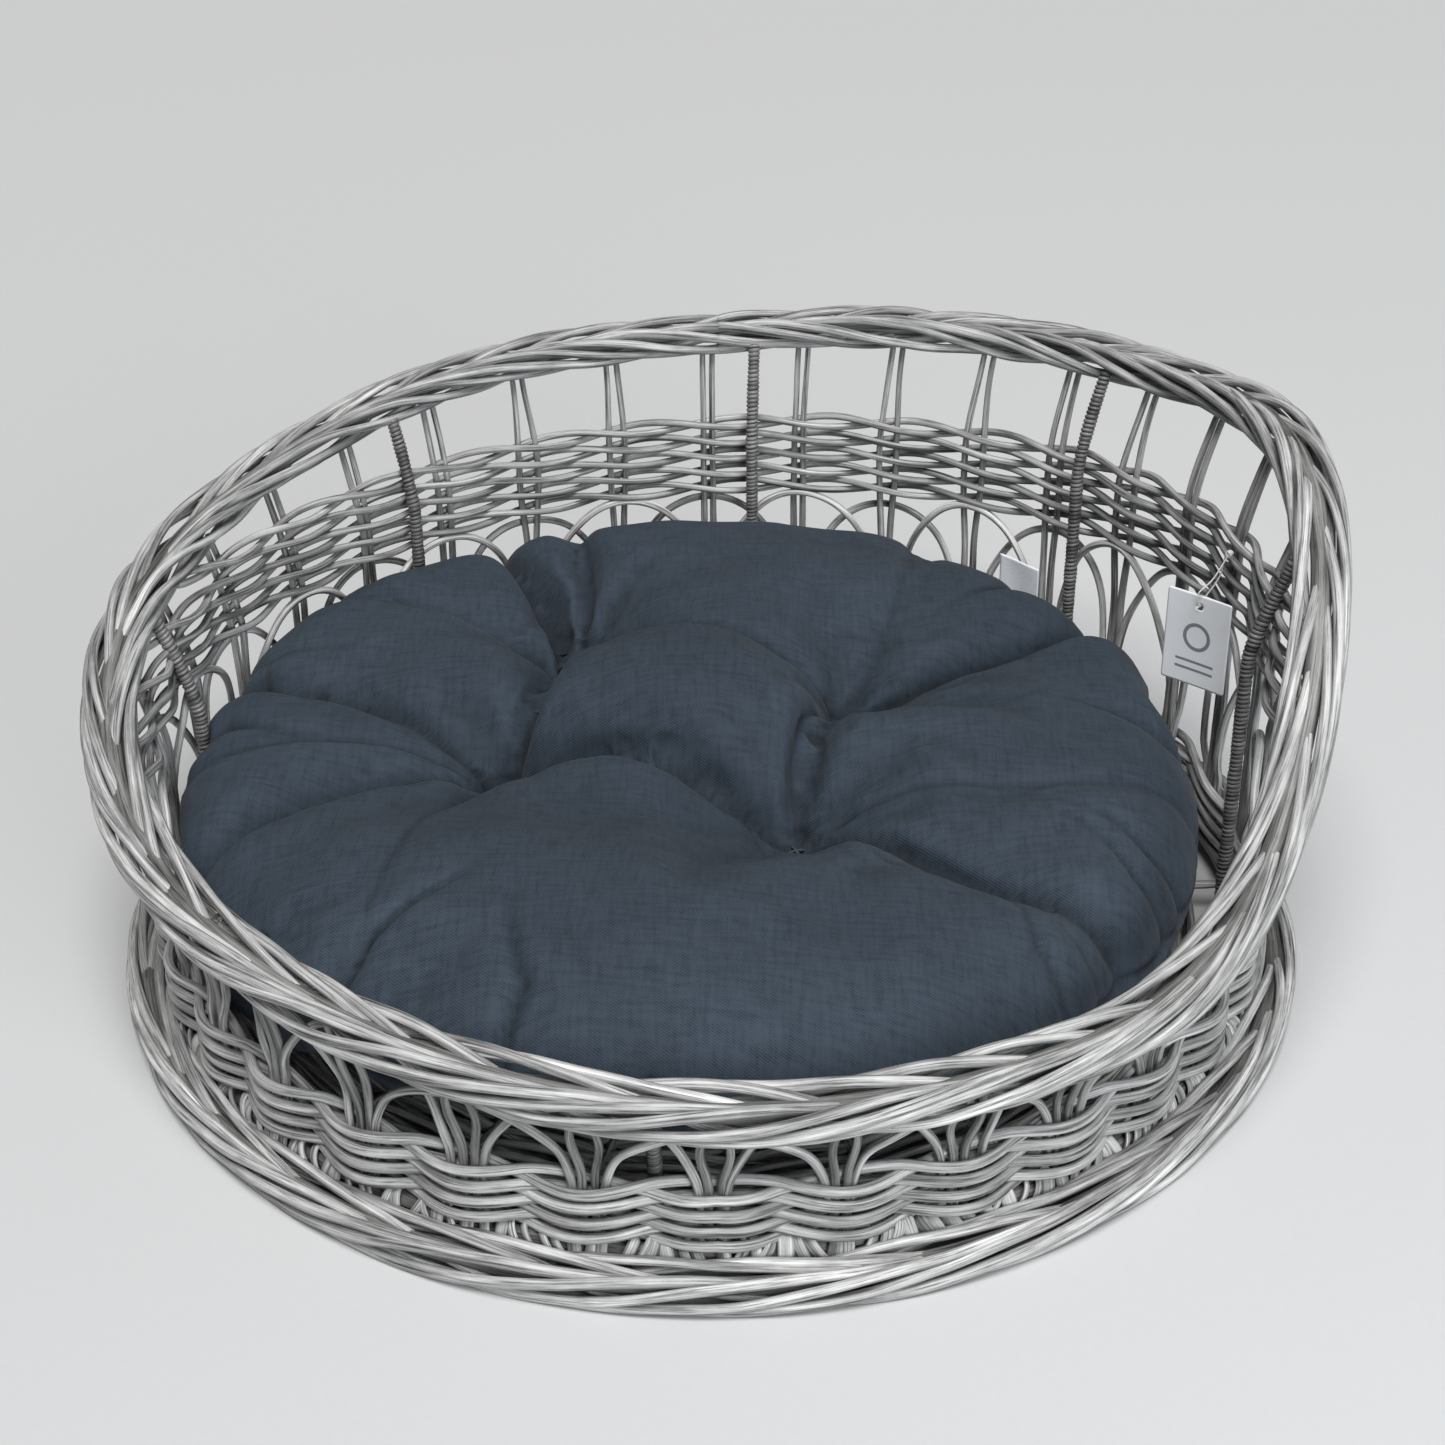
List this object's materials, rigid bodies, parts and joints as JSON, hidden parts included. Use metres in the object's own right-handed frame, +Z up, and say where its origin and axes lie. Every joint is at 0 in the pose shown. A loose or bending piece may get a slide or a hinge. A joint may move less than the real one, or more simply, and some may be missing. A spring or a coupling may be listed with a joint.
{
  "type": "pet bed basket",
  "caption": "Round woven willow pet bed with a high back, a low front, a plaited rim and a loose round tufted cushion with a hang tag.",
  "frame": {"origin": "on the floor plane, at the centre of the round foot", "axes": "+Z up, +Y towards the high back, -Y towards the low front, +X to the right seen from the front"},
  "size_m": [0.6552, 0.6552, 0.2823],
  "materials": {
    "willow": "grey-washed, satin",
    "split_cane": "grey-washed, satin",
    "cover_cloth": "dark slate woven cloth",
    "filling": "loose fibre",
    "label_cloth": "white ribbon",
    "card": "smooth card",
    "string": "thin twisted string"
  },
  "bodies": {
    "basket": {"base_hoop": "willow", "base_hoop_wraps": "split_cane", "base_sticks_long": "willow", "base_sticks_short": "willow", "base_centre_binding": "willow", "base_weave_inner": "willow", "base_weave_outer": "willow", "foot_core": "willow", "foot_border_rods": "willow", "post_sticks": "willow", "post_wraps": "split_cane", "uprights": "willow", "tall_arches": "willow", "low_arches": "willow", "lower_weave_row_1": "willow", "lower_weave_row_2": "willow", "lower_weave_row_3": "willow", "lower_weave_row_4": "willow", "upper_weave_row_1": "willow", "upper_weave_row_2": "willow", "upper_weave_row_3": "willow", "upper_weave_row_4": "willow", "upper_weave_row_5": "willow", "rim_core": "willow", "rim_border_rods": "willow"},
    "cushion": {"cushion_cover": "cover_cloth", "cushion_filling": "filling", "tuft_ties": "cover_cloth"},
    "label": {"care_label": "label_cloth"},
    "string": {"tag_string": "string"},
    "tag": {"hang_tag": "card"}
  },
  "joints": [
    {"name": "cushion_lift", "type": "slide", "parent": "basket", "child": "cushion", "axis": [0, 0, 1], "range_m": [0, 0.3]},
    {"name": "label_flip", "type": "hinge", "parent": "cushion", "child": "label", "pos_m": [0.18365, 0.187, 0.083], "axis": [0.6947, -0.7193, 0], "range_deg": [-5, 8]},
    {"name": "tag_swing", "type": "hinge", "parent": "basket", "child": "string", "pos_m": [0.28126, 0.04959, 0.2055], "axis": [0.1736, -0.9848, 0], "range_deg": [-12, 0]},
    {"name": "tag_turn", "type": "hinge", "parent": "string", "child": "tag", "pos_m": [0.268, 0.049, 0.174], "axis": [-0.6428, -0.766, 0], "range_deg": [-8, 8]}
  ]
}
